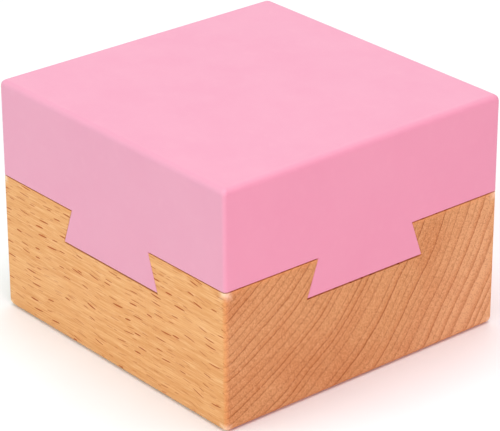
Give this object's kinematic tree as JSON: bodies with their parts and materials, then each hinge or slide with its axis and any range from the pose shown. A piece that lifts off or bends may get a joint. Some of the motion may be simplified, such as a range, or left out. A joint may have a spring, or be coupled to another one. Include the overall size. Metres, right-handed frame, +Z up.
{
  "type": "wooden puzzle box",
  "caption": "Square dovetailed puzzle box: a painted lid slides off a beech base along the plan's diagonal and opens a hidden compartment.",
  "frame": {"origin": "middle of the flat underside, on the surface that the box stands on", "axes": "+Z up through the lid, +X out of the side with end grain, -Y out of the side with long grain, and the lid slides along X = Y"},
  "size_m": [0.065, 0.065, 0.0465],
  "materials": {
    "beech": "sanded and oiled, satin",
    "pink_paint": "satin paint on beech",
    "magnet_plating": "bright nickel plating"
  },
  "bodies": {
    "base": {"base_block": "beech", "base_magnet_left": "magnet_plating", "base_magnet_right": "magnet_plating"},
    "lid": {"lid_block": "pink_paint", "lid_magnet_left": "magnet_plating", "lid_magnet_right": "magnet_plating"}
  },
  "joints": [
    {"name": "lid_slide", "type": "slide", "parent": "base", "child": "lid", "axis": [0.7071, 0.7071, 0], "range_m": [-0.093, 0.093]}
  ]
}
